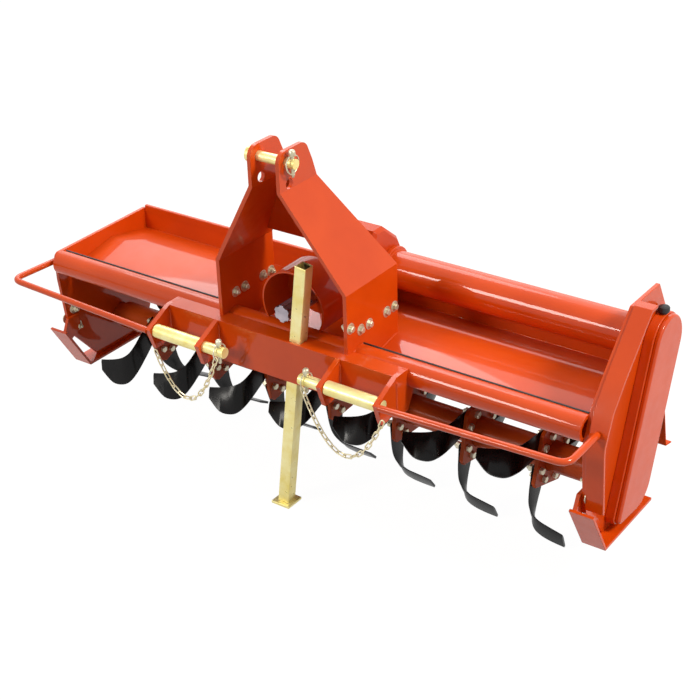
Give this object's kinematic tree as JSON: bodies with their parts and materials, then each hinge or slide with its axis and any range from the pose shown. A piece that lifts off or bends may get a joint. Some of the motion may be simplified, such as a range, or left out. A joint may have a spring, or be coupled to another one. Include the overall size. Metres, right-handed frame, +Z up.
{
  "type": "rotary tiller",
  "caption": "Three-point rotary tiller: tined rotor under a sheet deck, side chain drive, gearbox behind a bent-plate mast, front guard bars and a parking stand.",
  "frame": {"origin": "centre of the PTO input shaft's front end", "axes": "+X along the machine towards the chain case, +Y away from the tractor, +Z up"},
  "size_m": [1.328, 0.5268, 0.769],
  "materials": {
    "red_paint": "gloss orange-red paint",
    "yellow_zinc": "yellow zinc plate",
    "black_blade": "satin black",
    "black_plastic": "satin",
    "bare_steel": "machined"
  },
  "bodies": {
    "frame": {"front_tube": "red_paint", "deck": "red_paint", "side_plate_left": "red_paint", "side_plate_right": "red_paint", "side_flange_right": "red_paint", "chain_case": "red_paint", "chain_case_cover": "red_paint", "breather": "black_plastic", "gearbox": "red_paint", "gearbox_cap_left": "red_paint", "drive_tube": "red_paint", "pto_guard": "red_paint", "mast_plate_left": "red_paint", "mast_plate_right": "red_paint", "mast_brace": "red_paint", "top_link_pin": "yellow_zinc", "hitch_channel": "red_paint", "hitch_lug_outer_left": "red_paint", "hitch_lug_outer_right": "red_paint", "hitch_lug_inner_left": "red_paint", "hitch_lug_inner_right": "red_paint", "lower_link_pin_left": "yellow_zinc", "lower_link_pin_right": "yellow_zinc", "guard_bar_left": "red_paint", "guard_bar_right": "red_paint", "skid_left": "red_paint", "skid_right": "red_paint", "bearing_hub_left": "red_paint", "bearing_hub_right": "red_paint", "gate_hinge": "red_paint", "linch_pins": "yellow_zinc", "pin_chain_left": "yellow_zinc", "pin_chain_right": "yellow_zinc"},
    "rotor": {"rotor_tube": "red_paint", "rotor_flanges": "red_paint", "tines_left": "black_blade", "tines_right": "black_blade"},
    "input": {"pto_shaft": "bare_steel"},
    "stand": {"stand_leg": "yellow_zinc", "stand_foot": "yellow_zinc"},
    "tailgate": {"gate_panel": "red_paint"}
  },
  "joints": [
    {"name": "rotor_spin", "type": "hinge", "parent": "frame", "child": "rotor", "pos_m": [0, 0.193, -0.252], "axis": [1, 0, 0], "continuous": true},
    {"name": "input_spin", "type": "hinge", "parent": "frame", "child": "input", "pos_m": [0, 0, 0], "axis": [0, 1, 0], "continuous": true},
    {"name": "stand_slide", "type": "slide", "parent": "frame", "child": "stand", "axis": [0.1305, 0, 0.9914], "range_m": [-0.1, 0.05]},
    {"name": "tailgate_swing", "type": "hinge", "parent": "frame", "child": "tailgate", "pos_m": [0, 0.343, -0.06], "axis": [1, 0, 0], "range_deg": [0, 45]}
  ],
  "couplings": [
    {"joint": "input_spin", "follows": "rotor_spin", "ratio": -2.6}
  ]
}
